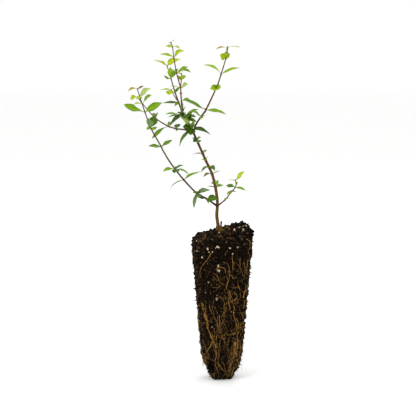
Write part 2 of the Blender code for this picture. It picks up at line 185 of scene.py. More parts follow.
# Shapes made from lines
def smoothLine(points, steps):
    points = [Vector(p) for p in points]
    ends = [points[0] * 2 - points[1], *points, points[-1] * 2 - points[-2]]
    line = []
    for before, a, b, after in zip(ends, ends[1:], ends[2:], ends[3:]):
        for step in range(steps):
            t = step / steps
            line.append(0.5 * (2 * a + (b - before) * t
                               + (2 * before - 5 * a + 4 * b - after) * t ** 2
                               + (3 * a - before - 3 * b + after) * t ** 3))
    return [*line, points[-1]]


def alongLine(line):
    # the distance to each point, from the first
    lengths = [0.0]
    for a, b in zip(line, line[1:]):
        lengths.append(lengths[-1] + (b - a).length)
    return lengths


class Heap:
    # points, faces and each face's material, gathered into one joined mesh
    def __init__(self):
        self.points, self.faces, self.looks = [], [], []

    def add(self, points, faces, looks=0):
        start = len(self.points)
        self.points.extend(points)
        self.faces.extend(tuple(start + i for i in face) for face in faces)
        self.looks.extend(looks if isinstance(looks, list) else [looks] * len(faces))

    def piece(self, name, materials, smooth=True):
        mesh = bpy.data.meshes.new(name)
        kept = [[min(h, max(l, c)) * mm for c, l, h in zip(p, limitLow, limitHigh)] for p in self.points]
        mesh.from_pydata(kept, [], self.faces)
        for look in materials:
            mesh.materials.append(look)
        mesh.polygons.foreach_set("material_index", self.looks)
        mesh.polygons.foreach_set("use_smooth", [smooth] * len(self.faces))
        mesh.validate()
        made = bpy.data.objects.new(name, mesh)
        bpy.context.scene.collection.objects.link(made)
        return made


def addTube(heap, line, radii, sides, look=0, relief=None):
    # a limb, twig or root: rings that follow the line, closed by a cap at each end
    ahead = (line[1] - line[0]).normalized()
    side = ahead.orthogonal().normalized()
    points = []
    for i, (place, radius) in enumerate(zip(line, radii)):
        ahead = (line[min(i + 1, len(line) - 1)] - line[max(i - 1, 0)]).normalized()
        side = (side - ahead * side.dot(ahead)).normalized()
        over = ahead.cross(side)
        for k in range(sides):
            turn = 2 * math.pi * k / sides
            way = side * math.cos(turn) + over * math.sin(turn)
            out = radius * (relief(place + way * radius) if relief else 1)
            points.append(place + way * out)
    faces = []
    for i in range(len(line) - 1):
        for k in range(sides):
            a, b = i * sides + k, i * sides + (k + 1) % sides
            faces.append((a, b, b + sides, a + sides))
    faces.append(tuple(reversed(range(sides))))
    faces.append(tuple(range((len(line) - 1) * sides, len(line) * sides)))
    heap.add(points, faces, look)


def settle(piece, slot, *nodes):
    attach(piece, "root")
    if nodes:
        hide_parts(*nodes)
    print(piece.name, len(piece.data.polygons), "faces")
    return piece


# The plant's limbs, from foot to tip, with the radius at each end
gap = 0.3
limbs = {
    "trunk": {"line": ((-3.6, 0, 150.6), (-3.6, 0, 156), (-4.9, -0.5, 167), (-4.4, -1, 182), (-8.7, 0, 205),
                       (-16.2, 1.5, 222), (-23.3, 2.5, 238), (-28.8, 3, 250.5), (-31.2, 4, 256)),
              "radii": (1.75, 1.0), "flare": 0.9,
              "bark": ((0.105, 0.075, 0.008), (0.115, 0.065, 0.012), (0.095, 0.042, 0.007), (0.042, 0.016, 0.003))},
    "lower_left_bough": {"line": ((-4.5, -1, 176), (-15, -3, 183.5), (-25, -6, 189.5), (-37.5, -10, 203),
                                  (-46, -13, 214), (-52.5, -15.5, 223.5), (-58, -17.5, 233.3)),
                         "radii": (0.95, 0.74), "flare": 0.25,
                         "bark": ((0.04, 0.015, 0.003), (0.06, 0.026, 0.002), (0.1, 0.064, 0.001))},
    "lower_right_bough": {"line": ((-4.3, -1, 176), (3.4, -3, 182.6), (9, -6, 190)),
                          "radii": (0.76, 0.62), "flare": 0.25, "bark": ((0.075, 0.035, 0.007), (0.19, 0.075, 0.03))},
    "left_bough": {"line": ((-28.6, 3, 250), (-38, 5, 252), (-45, 6.5, 252.6), (-51, 8.5, 254.2)),
                   "radii": (0.84, 0.68), "flare": 0.2, "bark": ((0.07, 0.03, 0.004), (0.1, 0.045, 0.005))},
    "right_bough": {"line": ((-28.3, 3, 249.5), (-25.6, 2, 257.2), (-20.2, -1, 265.4), (-18.6, -1.4, 267.6)),
                    "radii": (0.92, 0.75), "flare": 0.2, "bark": ((0.03, 0.01, 0.002), (0.07, 0.035, 0.009))},
    "centre_bough": {"line": ((-31.2, 4, 256), (-37, 7, 264.3), (-40, 8, 270), (-42, 9, 276)),
                     "radii": (0.98, 0.7), "flare": 0.0, "bark": ((0.07, 0.025, 0.005), (0.14, 0.05, 0.01))},
}
flareTall = 3.0
barkLook = {"voxel": 0.21, "ridge": 0.09, "nodeSwell": 0.22}
limbLines = {name: smoothLine(limb["line"], 8) for name, limb in limbs.items()}


def nearestOn(line, place):
    place = Vector(place)
    best = None
    for a, b in zip(line, line[1:]):
        share = (place - a).dot(b - a) / (b - a).length_squared
        point = a + (b - a) * min(1, max(0, share))
        if best is None or (point - place).length < (best - place).length:
            best = point
    return best


# Leaf masses. Each spray: its limb, its stem's radii and bark, and its nodes from the foot up.
# A node has its place, then its leaves. A leaf has its tint and its reach from the node, then, where
# it isn't the usual one, its width, its roll in degrees, how far its middle rises and where it is fullest.
sprays = {
    "lower_left_spray": {"limb": "lower_left_bough", "from": "tip", "radii": (0.62, 0.4), "bark": "goldBark", "nodes": (
        ((-59.3, -18.1, 236.3), ("mid", -12.2, -5, 0.8, 4.6, 36, 0.4), ("mid", 10.6, 6, 6.3, 4.2, 36, 0.3, 0.5)),
        ((-69, -22, 254.5), ("deep", 3.4, 10, 12, 8.8, 8, 0.3), ("blue", -2, -9, 10, 6.5, 8, 0.3),
         ("leaf", -4.6, 2, -0.6, 4, 60, 0.3), ("leaf", 6.5, -2, 1, 3.4, 50, -0.9)),
        ((-74.5, -24, 270), ("leaf", -20, -6, 7.5, 7.6, 48, -0.7, 0.6), ("leaf", 16.5, 5, 9, 7.2, 46, 0.5, 0.42)),
        ((-79.5, -25, 285.5), ("pale", 11, -5, 7, 6.6, 54, 0.8), ("lime", -9.2, 5, -2.4, 5, 58, 0.2, 0.75),
         ("lime", -1, -4, -3, 2.8, 20, 0.2), ("lime", 2, 4, -1.5, 2.2, 30, 0.2), ("fresh", -3.5, -2, -4, 1.4, 30, 0.2)),
        ((-81.5, -25, 292), ("rust", -9, -3, -2.5, 2.9, 30, 2.0), ("olive", 6.7, 3, 3, 2.0, 30, 0.5)))},
    "left_spray": {"limb": "left_bough", "from": "tip", "radii": (0.62, 0.36), "bark": "goldBark", "nodes": (
        ((-53.5, 9.8, 255), ("mid", -16, -5, -12, 4.6, 34, 1.4, 0.58), ("mid", 2, 14, 4, 3.4, 20, 0.5)),
        ((-66.5, 15, 263), ("mid", -3, 13, 5, 4, 20, 0.4), ("mid", 3, -9, 6, 3.2, 30, 0.4)),
        ((-79.5, 20, 277), ("leaf", 9.2, -4, 9, 6.2, 48, 1.4, 0.58), ("lime", -9.3, -3, -1, 3.0, 32, 1.3)),
        ((-83, 21, 281.5), ("lime", -3, -3, 2, 1.8, 40, 0.2), ("lime", 3, 3, 2.5, 1.8, 40, 0.2)))},
    "right_spray": {"limb": "right_bough", "from": "tip", "radii": (0.78, 0.38), "bark": "tanBark", "nodes": (
        ((-15.8, -2.2, 271.6), ("mid", -21.8, -3, 9.4, 5.2, 36, 1.0, 0.55), ("leaf", 20.2, -5, -4.6, 5.2, 38, 1.3, 0.34),
         ("fresh", -2, 2, 1.8, 1.3, 40, 0.1)),
        ((-5.5, -8, 293.4), ("fresh", -6.2, -5, -1.2, 5, 74, 0.5, 0.4), ("fresh", 4.6, -5, 0.6, 4.6, 74, 0.5, 0.4),
         ("leaf", -0.9, -4, 2.8, 6, 6, 0.2, 0.5), ("fresh", -1.4, -4, -3, 6, 6, 0.2, 0.5),
         ("mid", 1, 12, 2, 4, 20, 0.5)),
        ((-1, -11, 306.3), ("fresh", -17, -4, 9, 3.6, 36, 2.7, 0.45), ("fresh", 18.5, 4, 6, 3.4, 34, 1.6, 0.4)),
        ((3.6, -13, 321.6), ("lime", -6, -4, 3.4, 6.6, 70, -0.5, 0.45), ("lime", 4.2, -5, 4.2, 5.4, 66, -0.6, 0.5),
         ("lime", -1.2, -5, 5, 6.6, 8, 0.2, 0.5),
         ("lime", -1, 8, 2, 3.6, 20, 0.4)),
        ((5, -13, 329), ("leaf", -1.8, -2, -4.2, 2.8, 60, 0.2, 0.55), ("leaf", 0.5, 3, -4.6, 2.6, 60, 0.2, 0.55),
         ("leaf", -1, 3.5, 2.4, 1.6, 40, 0.1)),
        ((5.4, -13, 332), ("rust", -11.4, 2, -1.6, 2.3, 28, 1.2, 0.6), ("lime", 12, -3, 0, 2.4, 30, 1.0, 0.6)))},
    "centre_left_spray": {"limb": "centre_bough", "from": "tip", "radii": (0.68, 0.36), "bark": "goldBark", "nodes": (
        ((-43, 9, 279), ("deep", -16, -4, -1, 2.9, 34, 0.4), ("leaf", -4, -5, -4, 2.6, 34, 0.3)),
        ((-46.4, 10, 288.4), ("mid", 4.6, 3, 6, 2.9, 40, 0.2), ("fresh", -2.5, 3, 0.5, 1.4, 40, 0.1)),
        ((-50.5, 10, 302.3), ("leaf", -6.9, -3, 3.5, 3.8, 36, -1.5, 0.5), ("fresh", -0.6, -6, 11.2, 6.2, 14, 0.4),
         ("leaf", 3.6, -5, 7, 5.2, 30, 0.3), ("leaf", 7.4, 2, 10, 4.6, 50, 1.0)),
        ((-54.3, 9, 314.7), ("lime", 13.7, 4, 6.5, 6.0, 46, 2.3, 0.3), ("lime", -13.4, -3, 6, 4.2, 36, 0.9, 0.32)))},
    "centre_right_spray": {"limb": "centre_bough", "from": "side", "radii": (0.68, 0.36), "bark": "pinkBark", "nodes": (
        ((-40.2, 8, 270.7), ("blue", -0.5, -6, 4, 3.2, 30, 0.2)),
        ((-40, 4, 279.4), ("leaf", 9.6, -3, 0.8, 3.2, 40, 2.2)),
        ((-40.5, 0, 287.6), ("pale", -2.5, 0, 0.5, 1, 40, 0.1), ("fresh", 2.6, 0, 0.5, 1, 40, 0.1)),
        ((-40.8, -2, 293.5), ("pale", 7.4, -4, 3, 4.9, 50, 0.9, 0.6), ("lime", -10.6, 4, 1.5, 1.6, 24, 0.2),
         ("mid", -4.4, 6, -4.6, 2.6, 40, 0.2), ("lime", 3.2, -2, -0.6, 1.3, 40, 0.1)),
        ((-44.5, -6, 308), ("leaf", 11.3, -3, 5.5, 4.8, 44, 0.4, 0.5), ("leaf", -3, 9, 3, 3, 20, 0.4),
         ("lime", 3.4, -3, 0.2, 1.8, 30, 0.3)),
        ((-47, -8, 322.7), ("lime", 10.4, -4, 6, 6.8, 50, 2.0, 0.33), ("fresh", -13.5, -3, 2.8, 3.2, 34, 1.2)),
        ((-48.2, -8, 332.6), ("lime", -7.1, 3, 1, 3.0, 40, 0.6), ("lime", 7.3, -3, -1.5, 2.6, 36, 1.2, 0.5)),
        ((-49.7, -8, 336.5), ("rust", 4.1, -2, 3.2, 1.4, 30, 0.3), ("olive", -2.6, 1, 0.5, 0.9, 30, 0.1)))},
    "lower_right_spray": {"limb": "lower_right_bough", "from": "tip", "radii": (0.56, 0.34), "bark": "tanBark", "nodes": (
        ((10, -6.5, 191.3), ("leaf", -5.2, -5, -3.3, 2.6, 40, 0.8), ("mid", -1.8, -3, 1.4, 1.8, 40, 0.2),
         ("mid", 4.6, 3, -0.6, 1.6, 36, 0.2)),
        ((13.4, -8, 195.6), ("deep", -9.2, 3, 1.4, 3.8, 44, 0.5, 0.55), ("leaf", 10.2, -4, -3.4, 2.5, 34, 1.0)),
        ((14, -8.5, 199.5), ("olive", 1, -5, -1, 1.6, 20, 0.1), ("fresh", 2, 4, 1, 1.4, 30, 0.1)),
        ((13.5, -9, 202.4), ("lime", 8.6, -3, 9.4, 5, 50, 0.2, 0.5), ("pale", -7.2, 3, 0.4, 1.5, 26, 0.2)))},
}
sideTwigs = {
    "centre_left_spray": {"node": 0, "bark": "pinkBark", "nodes": (
        ((-47, 6, 285),),
        ((-50, 3, 291), ("lime", -11, -3, 0, 2.2, 30, 0.8), ("lime", -2.5, -6, -4.6, 6.6, 4, 0.2, 0.5),
         ("fresh", 1.6, -3, 1.2, 2.6, 30, 0.2)))},
    "centre_right_spray": {"node": 3, "bark": "pinkBark", "nodes": (
        ((-40, 3, 301), ("lime", -4, -5, 2.6, 5.2, 60, 0.3, 0.5), ("lime", 1.8, -6, 4.8, 6.6, 12, 0.3, 0.5),
         ("fresh", 3, 6, 4.6, 5.4, 10, 0.3)),
        ((-40, 5, 306.6), ("leaf", 9.6, -3, 1.4, 2.8, 36, 3.4, 0.6), ("lime", -5.5, 2, 1.6, 1.6, 34, 0.3)))},
}
# Each sprig: its limb, its place there, the way it leaves and its leaves
sprigs = {
    "lower_left_sprig_1": ("lower_left_bough", (-15, -3, 183.5), (0.1, -1, 0.2), (
        ("deep", 11, -3, -1, 7.4, 46, 0.9, 0.3), ("leaf", 1.7, -4, -5, 1.9, 20, 0.2))),
    "lower_left_sprig_2": ("lower_left_bough", (-25, -6, 189.5), (0, -1, -0.2), (
        ("blue", 13.7, -3, 4, 5.4, 42, 1.5), ("blue", -2.4, -2, -14.5, 3.4, 36, 1.2), ("blue", 2.8, -4, -3.6, 7, 0, 0.2, 0.5), ("mid", 2.6, -4, 3, 5.6, 0, 0.2, 0.5),
        ("deep", -4, -4, 2, 1.6, 40, 0.2), ("dark", 7.6, -5, -4.6, 2.8, 36, -0.8), ("mid", 1, -3, 3.4, 1.4, 30, 0.1))),
    "lower_left_sprig_3": ("lower_left_bough", (-37.5, -10, 203), (0.2, 1, 0), (
        ("leaf", -14.4, 3, -11, 2.9, 32, 2.6, 0.5), ("leaf", 16.8, 4, 8, 2.6, 32, 1.6, 0.3))),
    "lower_left_sprig_4": ("lower_left_bough", (-46, -13, 214), (0, -1, 0), (
        ("leaf", -11.8, -3, -1.8, 3.6, 38, 1.5, 0.55), ("mid", 8.6, -3, 4, 2.6, 34, 1.4), ("blue", 3, -4, 3.4, 6.6, 0, 0.2, 0.5), ("mid", 3, -4, -2.6, 5.6, 0, 0.2, 0.5),
        ("deep", -1, -4, -3.5, 4.4, 10, 0.2), ("leaf", 13.8, -1, -5.5, 3.2, 34, 2.0, 0.45))),
    "lower_right_sprig": ("lower_right_bough", (3.4, -3, 182.6), (0, -1, 0.2), (
        ("fresh", -1, -4, 2.5, 1.7, 30, 0.1), ("pale", 5, -3, 1.2, 1.4, 30, 0.5))),
    "left_sprig": ("left_bough", (-45, 6.5, 252.6), (0, -1, 0.2), (
        ("blue", 2.2, -3.5, 4.6, 6.6, 0, 0.2, 0.5), ("blue", 0, -5, -2.5, 2.4, 20, 0.2), ("blue", 3, -5, 3.6, 4, 30, 0.2))),
    "right_sprig": ("right_bough", (-20.2, -1, 265.4), (-0.3, -1, 0), (
        ("leaf", -11.4, -3, 5, 4.0, 38, 1.6, 0.55), ("olive", 4.6, -4, 0.5, 1.7, 40, 0.2), ("leaf", 0.6, -5, -3, 2.4, 20, 0.2),
        ("mid", -3.6, -3, 1.6, 2.8, 44, 0.3), ("mid", 2.4, -3, -1.4, 2.2, 50, 0.2))),
    "centre_sprig_1": ("centre_bough", (-38.3, 7.5, 266.5), (-0.4, -1, 0), (
        ("leaf", -16.6, -3, 0.8, 3.2, 34, 0.8, 0.55), ("leaf", -14, -2, -2.4, 2.4, 30, 0.8, 0.5),
        ("dark", -12.4, -4, -11.3, 3.6, 44, 2.0, 0.3), ("mid", 1, -6, -2, 5, 20, 0.2), ("deep", 3.5, -5, 2, 4.4, 30, 0.3),
        ("mid", -2.2, -5, 3.4, 5.2, 0, 0.2, 0.5), ("blue", -3, -5, -2.4, 5, 0, 0.2, 0.5),
        ("blue", 0.6, -4, 12.4, 4.8, 50, 0.2), ("dark", 3.4, -2, 9, 3.2, 56, 0.4),
        ("mid", -5, -3, 2.6, 3, 40, 0.3), ("pale", 5.5, -6, -9.6, 8.6, 10, 1.2, 0.3))),
    "centre_sprig_2": ("centre_bough", (-35.2, 6, 261.8), (0.6, -1, 0.4), (
        ("pale", 0, -6, -5.5, 5, 10, 0.2), ("mid", 11.4, 2, 9.4, 4.0, 40, 3.0, 0.4), ("mid", 4, 2, 8, 4.2, 50, 0.3),
        ("leaf", -3, -4, 6, 5.2, 30, 0.3), ("blue", 8.4, -3, 2, 2.8, 44, 1.4, 0.7), ("dark", 6, -2, 4.6, 2.2, 40, 0.4),
        ("blue", 1.4, -5, 3.6, 6, 0, 0.2, 0.5), ("deep", 4, -6, 0.5, 4.6, 20, 0.2), ("leaf", 6.5, -4, 4.5, 3.8, 40, 0.5), ("mid", 9, -4, -3.4, 3.4, 44, 1))),
    "fork_sprig": ("trunk", (-29.6, 3.3, 252.3), (0, -1, 0.1), (
        ("dark", -1.6, -7, -5.6, 7.6, 8, 0.2, 0.45), ("mid", 1.6, -6, 8.6, 4.2, 12, 0.2), ("dark", -9, -3, 2.5, 8.2, 58, 0.3, 0.5),
        ("dark", 18.4, -2, -5.6, 4.8, 38, 2.5, 0.3), ("deep", -12.3, -3, -17.4, 3.4, 38, 2.6, 0.28),
        ("deep", -4.6, -6, 7.4, 6.4, 16, 0.2, 0.45), ("deep", -5.6, -5, -2.6, 5.4, 30, 0.2))),
    "trunk_sprig_1": ("trunk", (-25.2, 2.7, 242), (0, -1, 0), (
        ("dark", -4, -5, 1.9, 3, 40, 0.2), ("blue", 1.6, -5, -2.8, 6.2, 0, 0.2, 0.5), ("mid", 1.8, -5, 2.6, 5.2, 0, 0.2, 0.5), ("dark", 3.4, -2, 3.8, 2.6, 40, 0.2),
        ("lime", 5.4, -2, 2.8, 1.7, 40, 0.2), ("dark", -3.4, -6, -1.6, 3.6, 40, -0.3))),
    "trunk_sprig_2": ("trunk", (-19, 2, 228.3), (0, 1, 0), (
        ("olive", -9.9, 3, -1.8, 1.6, 20, 0.9), ("olive", 4, 11, 3, 3, 20, 0.4))),
    "trunk_sprig_3": ("trunk", (-16.1, 1.5, 221.8), (0, -1, 0), (
        ("leaf", -4, -4, 1.1, 2.2, 40, 0.2), ("fresh", 2.4, -4, 4.2, 3.2, 50, 0.1))),
    "trunk_sprig_4": ("trunk", (-13.1, 1, 215), (0, -1, 0), (
        ("deep", -7.4, -3, -5, 3, 36, 1.8), ("deep", 6, -3, -3.8, 4, 42, 2.1))),
    "trunk_sprig_5": ("trunk", (-10, 0.5, 207.5), (0, 1, 0), (
        ("olive", -9, 3, -3, 4, 42, 1.5, 0.62), ("pale", 8.4, 3, 2.8, 1.4, 24, 0.6))),
    "trunk_sprig_6": ("trunk", (-7.3, 0, 200), (0, -1, 0), (
        ("leaf", 4.2, -4, -0.5, 4.4, 58, 0.3, 0.65), ("deep", -3, -4, -1, 2, 30, 0.1))),
    "trunk_sprig_7": ("trunk", (-6, -0.5, 194.5), (0, 1, 0), (
        ("dark", -8, 3, 0.7, 2, 28, 0.4), ("leaf", 8.4, 3, 1.8, 3.4, 36, 0.9, 0.5))),
}

# Bark, one skin over the trunk and boughs
woodPieces = {"ringsPerTurn": 18, "stubFoot": (-1.2, -4.5, 150.4), "stubTop": (-0.4, -4.7, 161.5)}


def limbRadii(name):
    line, limb = limbLines[name], limbs[name]
    lengths = alongLine(line)
    foot, tip = limb["radii"]
    swells = [nearestOn(line, spec[1]) for spec in sprigs.values() if spec[0] == name]
    radii = []
    for place, along in zip(line, lengths):
        radius = foot + (tip - foot) * along / lengths[-1] + limb["flare"] * math.exp(-along / flareTall)
        for knot in swells:
            radius += barkLook["nodeSwell"] * math.exp(-((place - knot).length / 1.3) ** 2)
        radii.append(radius)
    return radii


def barkRelief(point):
    ridges = noise.noise(Vector((point.x * 1.6, point.y * 1.6, point.z * 0.35)))
    grain = noise.noise(Vector((point.x * 4, point.y * 4, point.z * 1.5)))
    return 1 + barkLook["ridge"] * ridges + 0.05 * grain


def activate(piece):
    bpy.ops.object.select_all(action="DESELECT")
    piece.select_set(True)
    bpy.context.view_layer.objects.active = piece


def applyStep(piece, kind, **settings):
    step = piece.modifiers.new(kind.lower(), kind)
    for key, value in settings.items():
        setattr(step, key, value)
    activate(piece)
    bpy.ops.object.modifier_apply(modifier=step.name)


def makeBark():
    heap = Heap()
    for name in limbs:
        line = limbLines[name]
        fine = [a.lerp(b, t) for a, b in zip(line, line[1:]) for t in (0, 0.5)] + [line[-1]]
        radii = limbRadii(name)
        fineRadii = [a + (b - a) * t for a, b in zip(radii, radii[1:]) for t in (0, 0.5)] + [radii[-1]]
        addTube(heap, fine, fineRadii, woodPieces["ringsPerTurn"], relief=barkRelief)
    wood = heap.piece("barkLimbs", [])
    applyStep(wood, "REMESH", mode="VOXEL", voxel_size=barkLook["voxel"] * mm, use_smooth_shade=True)
    # each face takes the bark of the limb that it is nearest to
    near = kdtree.KDTree(sum(len(line) for line in limbLines.values()))
    for i, (name, line) in enumerate(limbLines.items()):
        wood.data.materials.append(barkMaterial(name + "Bark", line, limbs[name]["bark"]))
        for place in line:
            near.insert(place, i)
    near.balance()
    for face in wood.data.polygons:
        face.material_index = near.find(face.center / mm)[1]
    settle(wood, "bark", *limbs)
    stub = Heap()
    line = [Vector(woodPieces["stubFoot"]).lerp(Vector(woodPieces["stubTop"]), i / 10) for i in range(11)]
    radii = [1.15 - 0.03 * i + 0.12 * math.sin(i * 1.7) for i in range(11)]
    addTube(stub, line, radii, 10, relief=barkRelief)
    redWood = tinted("redWood", (0.16, 0.05, 0.022), 0.45, 0.5, 0.8, 0.1, 0.1)
    settle(stub.piece("deadStub", [redWood]), "dead_wood", "dead_stub")


makeBark()
print("bark ready")

# Leaves
leafForm = {"rows": 14, "columns": (-1, -0.72, -0.34, -0.07, 0.07, 0.34, 0.72, 1), "thick": 0.16,
            "petiole": 0.07, "petioleHalf": 0.36, "fullest": 0.38, "broad": 0.32, "roll": 36,
            "fold": 0.2, "wave": 0.07, "bend": 0.02, "wider": 1.15}
leafTints = {"lime": (0.36, 0.46, 0.002), "fresh": (0.27, 0.42, 0.002), "leaf": (0.15, 0.29, 0.002),
             "mid": (0.095, 0.2, 0.003), "deep": (0.06, 0.135, 0.003), "dark": (0.036, 0.082, 0.003),
             "blue": (0.11, 0.19, 0.06), "pale": (0.33, 0.45, 0.11), "olive": (0.16, 0.12, 0.01),
             "rust": (0.33, 0.25, 0.01)}
leafHeaps = {tint: Heap() for tint in leafTints}


def bladeHalf(along, width, fullest):
    # a thin stalk, a rounded blade, then a drawn-out tip
    blade = (along - leafForm["petiole"]) / (1 - leafForm["petiole"])
    if blade <= 0:
        return leafForm["petioleHalf"]
    power = math.log(0.5) / math.log(fullest)
    half = width / 2 * math.sin(math.pi * min(1, blade) ** power) ** 0.95
    return max(half, leafForm["petioleHalf"] * (1 - blade) ** 2 + 0.06)


def addLeaf(root, tip, tint, width=None, roll=None, rise=None, fullest=None):
    reach = tip - root
    length = reach.length
    width = (width or leafForm["broad"] * length) * leafForm["wider"] * dice.uniform(0.95, 1.05)
    rise = 0.05 * length if rise is None else rise
    fullest = fullest or leafForm["fullest"]
    roll = math.radians((leafForm["roll"] if roll is None else roll) + dice.uniform(-3, 3))
    bend = length * dice.uniform(-1, 1) * leafForm["bend"]
    sideways = reach.cross(Vector((0, 0, 1))).normalized()
    up = sideways.cross(reach).normalized()
    frontEdge = 1 if sideways.y < 0 else -1
    phase = dice.uniform(0, 6)
    rows, columns = leafForm["rows"], leafForm["columns"]
    tops, unders = [], []
    for i in range(rows):
        along = i / (rows - 1)
        half = bladeHalf(along, width, fullest)
        centre = root + reach * along + up * (rise * 4 * along * (1 - along) + bend * math.sin(2 * math.pi * along))
        twist = roll + 0.22 * math.sin(along * 3 + phase) * min(1, 3 / width)
        across = sideways * math.cos(twist) - up * math.sin(twist) * frontEdge
        face = up * math.cos(twist) + sideways * math.sin(twist) * frontEdge
        for u in columns:
            wave = leafForm["wave"] * math.sin(along * 15 + phase + u) * abs(u) ** 2
            groove = -0.06 if abs(u) < 0.1 and along > leafForm["petiole"] else 0
            point = centre + across * u * half + face * (half * (leafForm["fold"] * abs(u) ** 1.4 + wave) + groove)
            thick = leafForm["thick"] / 2 * (0.45 if abs(u) == 1 else 1)
            tops.append(point + face * thick)
            unders.append(point - face * thick)
    # materials: 0 the upper side, 1 the midrib, 2 the paler under side, 3 the leaf's edge strips and sides, drawn
    # darker as painted shade
    count, faces, looks = len(columns), [], []
    under = rows * count
    for i in range(rows - 1):
        for k in range(count - 1):
            a = i * count + k
            faces.append((a, a + 1, a + count + 1, a + count))
            looks.append(1 if k == count // 2 - 1 else 3 if k in (0, count - 2) else 0)
            faces.append((under + a, under + a + count, under + a + count + 1, under + a + 1))
            looks.append(2)
        for a, turn in ((i * count, 1), (i * count + count - 1, -1)):
            rim = (a, a + count, under + a + count, under + a)
            faces.append(rim if turn > 0 else tuple(reversed(rim)))
            looks.append(3)
    for k in range(count - 1):
        faces.append((k, under + k, under + k + 1, k + 1))
        last = (rows - 1) * count + k
        faces.append((last, last + 1, under + last + 1, under + last))
        looks += [2, 0]
    # these faces point out of the upper side only where across, reach and face are right-handed
    if across.cross(reach).dot(face) < 0:
        faces = [tuple(reversed(f)) for f in faces]
    leafHeaps[tint].add(tops + unders, faces, looks)


def leafFrom(axis, radius, node, spec):
    # the stalk starts just inside the stem's skin, on the side the leaf goes to
    tint, x, y, z, *form = spec
    tip = Vector(node) + Vector((x, y, z))
    addLeaf(axis + (tip - axis).normalized() * radius * 0.6, tip, tint, *form)


barkTones = {"goldBark": (0.085, 0.05, 0.002), "tanBark": (0.09, 0.045, 0.005), "pinkBark": (0.12, 0.045, 0.022)}
twigHeaps = {bark: Heap() for bark in barkTones}
twigForm = {"sides": 9, "steps": 8, "nodeSwell": 0.22, "budLong": 1.5, "thicker": 1.18}


def addStem(nodes, radii, bark, start=None):
    places = [Vector(node[0]) for node in nodes]
    if start:
        places = [*start, *places]
    line = smoothLine(places, twigForm["steps"])
    lengths = alongLine(line)
    knots = [Vector(node[0]) for node in nodes if len(node) > 1]
    full = []
    for place, along in zip(line, lengths):
        radius = twigForm["thicker"] * (radii[0] + (radii[1] - radii[0]) * along / lengths[-1])
        for knot in knots:
            radius += twigForm["nodeSwell"] * math.exp(-((place - knot).length / 0.7) ** 2)
        full.append(radius)
    addTube(twigHeaps[bark], line, full, twigForm["sides"])
    return line, full


def addBud(place, way, tint):
    # a small pointed bud
    long = twigForm["budLong"]
    line = [place + way * long * t for t in (0, 0.25, 0.5, 0.75, 1)]
    addTube(leafHeaps[tint], line, [0.25, 0.42, 0.4, 0.25, 0.06], 7)


def growSpray(name):
    spray = sprays[name]
    start = None
    if spray["from"] == "tip":
        limb = limbLines[spray["limb"]]
        ahead = (limb[-1] - limb[-2]).normalized()
        start = [limb[-1] - ahead * 0.5, limb[-1] + ahead * 1.2]
    addStem(spray["nodes"], spray["radii"], spray["bark"], start)
    stems = [(spray["nodes"], spray["radii"][1])]
    if name in sideTwigs:
        twig = sideTwigs[name]
        addStem(twig["nodes"], (0.5, 0.3), twig["bark"], [Vector(spray["nodes"][twig["node"]][0])])
        stems.append((twig["nodes"], 0.3))
    for nodes, radius in stems:
        for place, *leaves in nodes:
            for spec in leaves:
                leafFrom(Vector(place), radius, place, spec)
            if leaves:
                for side in (-1, 1):
                    way = Vector((0.5 * side, -0.6 * side, 0.9)).normalized()
                    addBud(Vector(place) + way * radius * 0.8, way, "fresh")
        last = Vector(nodes[-1][0])
        addBud(last, (last - Vector(nodes[-2][0])).normalized(), "olive")


def growSprig(name):
    limb, place, way, leaves = sprigs[name]
    root = nearestOn(limbLines[limb], place)
    stub = Vector(way).normalized() * (2.1 + 1.0)
    inner = root + stub * 0.88
    addTube(twigHeaps["tanBark"], [root, root + stub * 0.5, root + stub * 0.9], [0.55, 0.45, 0.36], 8)
    for tint, x, y, z, *form in leaves:
        addLeaf(root.lerp(inner, 0.75), inner + Vector((x, y, z)), tint, *form)
    addBud(root + stub * 0.85, Vector(way).normalized(), "fresh")


for name in sprays:
    growSpray(name)
for name in sprigs:
    growSprig(name)

massOf = {"leaf": list(sprays), "mid": list(sprigs)}
for tint, colour in leafTints.items():
    pale = tuple(0.75 * c + 0.25 * g for c, g in zip(colour, (0.2, 0.3, 0.08)))
    rib = tuple(0.75 * c + 0.25 * g for c, g in zip(colour, (0.4, 0.5, 0.1)))
    # the leaf's edge strips and sides take 0.72 of its colour: painted shade along the edges
    shadedMargin = tuple(0.72 * c for c in colour)
    looks = [tinted(tint + "Upper", colour, 0.32, 2.2, 0.35, 0.08, 0.1), tinted(tint + "Rib", rib, 0.1, 2, 0.5, 0.02, 0.1),
             tinted(tint + "Under", pale, 0.15, 2.5, 0.6, 0.03, 0.1), tinted(tint + "Margin", shadedMargin, 0.25, 2, 0.4, 0.04, 0.15)]
    slot = "old_leaves" if tint in ("mid", "deep", "dark", "blue") else "young_leaves"
    settle(leafHeaps[tint].piece(tint + "Leaves", looks), slot, *massOf.get(tint, []))
for bark, colour in barkTones.items():
    settle(twigHeaps[bark].piece(bark + "Twigs", [tinted(bark, colour, 0.4, 0.7, 0.6, 0.05, 0.1)]), "young_bark")
print("leaves ready")

# The root plug
plugForm = {"voxel": 0.95, "lumps": ((9, 1.6), (3.2, 4.4), (1.4, 1.8)), "foot": 0.6,
            "wornCorner": (-2.4, -2.6), "highCorner": 4.2}


def copyOfNode(node, name):
    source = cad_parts[node]
    made = bpy.data.objects.new(name, source.data.copy())
    made.matrix_world = source.matrix_world
    bpy.context.scene.collection.objects.link(made)
    activate(made)
    bpy.ops.object.transform_apply(location=True, rotation=True, scale=True)
    made.data.materials.clear()
    bpy.ops.object.mode_set(mode="EDIT")
    bpy.ops.mesh.select_all(action="SELECT")
    bpy.ops.mesh.remove_doubles(threshold=1e-6)
    bpy.ops.object.mode_set(mode="OBJECT")
    return made


